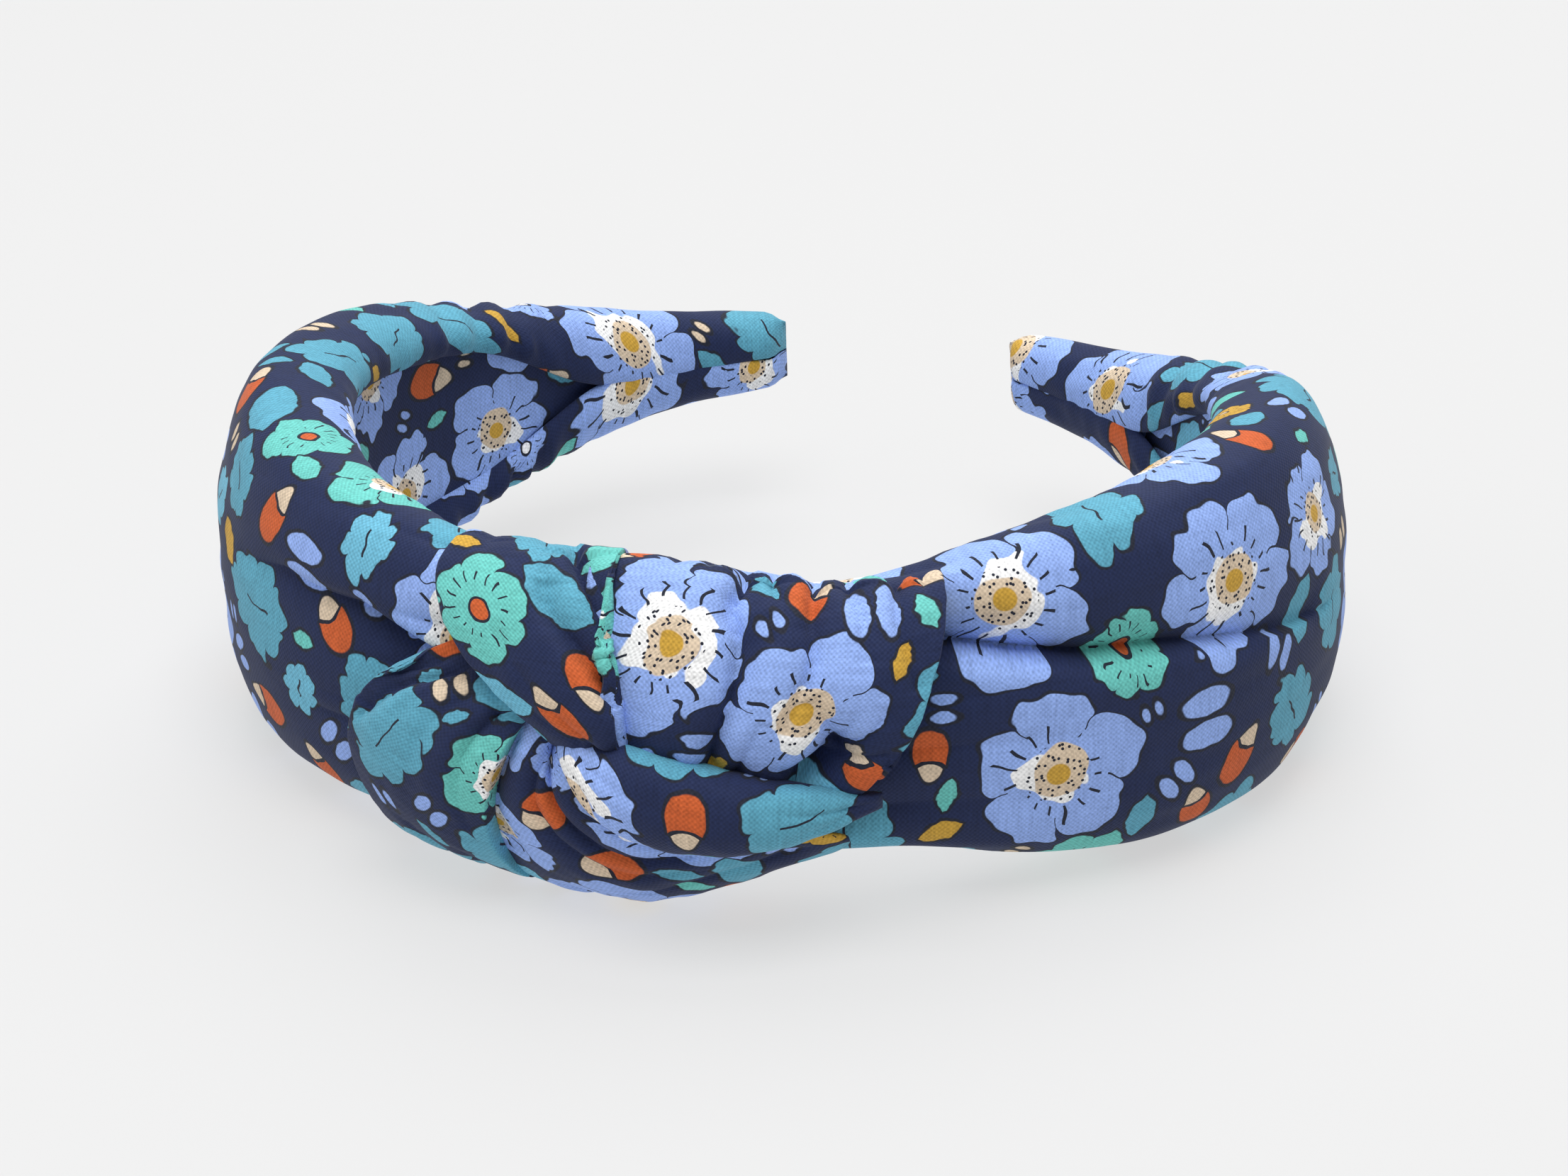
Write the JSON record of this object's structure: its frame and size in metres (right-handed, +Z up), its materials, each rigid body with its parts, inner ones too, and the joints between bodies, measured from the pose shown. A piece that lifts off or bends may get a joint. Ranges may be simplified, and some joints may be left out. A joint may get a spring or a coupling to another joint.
{
  "type": "knotted headband",
  "caption": "Padded cloth-covered headband on a plastic hoop, with a wrapped knot at the crown and arms that taper to flat tips.",
  "frame": {"origin": "on the surface it lies on, under the middle of the whole object", "axes": "+Z up along the band's width, -Y towards the knot, +Y towards the two tips, +X towards the right-hand arm"},
  "size_m": [0.1596, 0.1396, 0.0524],
  "materials": {
    "print": "matte printed cotton",
    "lining": "matte printed cotton",
    "hoop": "moulded plastic",
    "wadding": "polyester wadding",
    "glue": "hot-melt film"
  },
  "bodies": {
    "crown": {"crown_hoop": "hoop", "crown_glue": "glue", "crown_lining": "lining", "crown_wadding": "wadding", "left_crown_cover": "print", "right_crown_cover": "print", "knot_loop": "print", "knot_strand": "print"},
    "left_arm": {"left_hoop_arm": "hoop", "left_arm_glue": "glue", "left_arm_lining": "lining", "left_arm_wadding": "wadding", "left_arm_cover": "print"},
    "right_arm": {"right_hoop_arm": "hoop", "right_arm_glue": "glue", "right_arm_lining": "lining", "right_arm_wadding": "wadding", "right_arm_cover": "print"}
  },
  "joints": [
    {"name": "left_flex", "type": "hinge", "parent": "crown", "child": "left_arm", "pos_m": [-0.04487, -0.03766, 0.0259], "axis": [0, 0, 1], "range_deg": [-4, 12], "stiffness_Nm_per_rad": 1.7},
    {"name": "right_flex", "type": "hinge", "parent": "crown", "child": "right_arm", "pos_m": [0.04487, -0.03766, 0.0259], "axis": [0, 0, -1], "range_deg": [-4, 12], "stiffness_Nm_per_rad": 1.7}
  ]
}
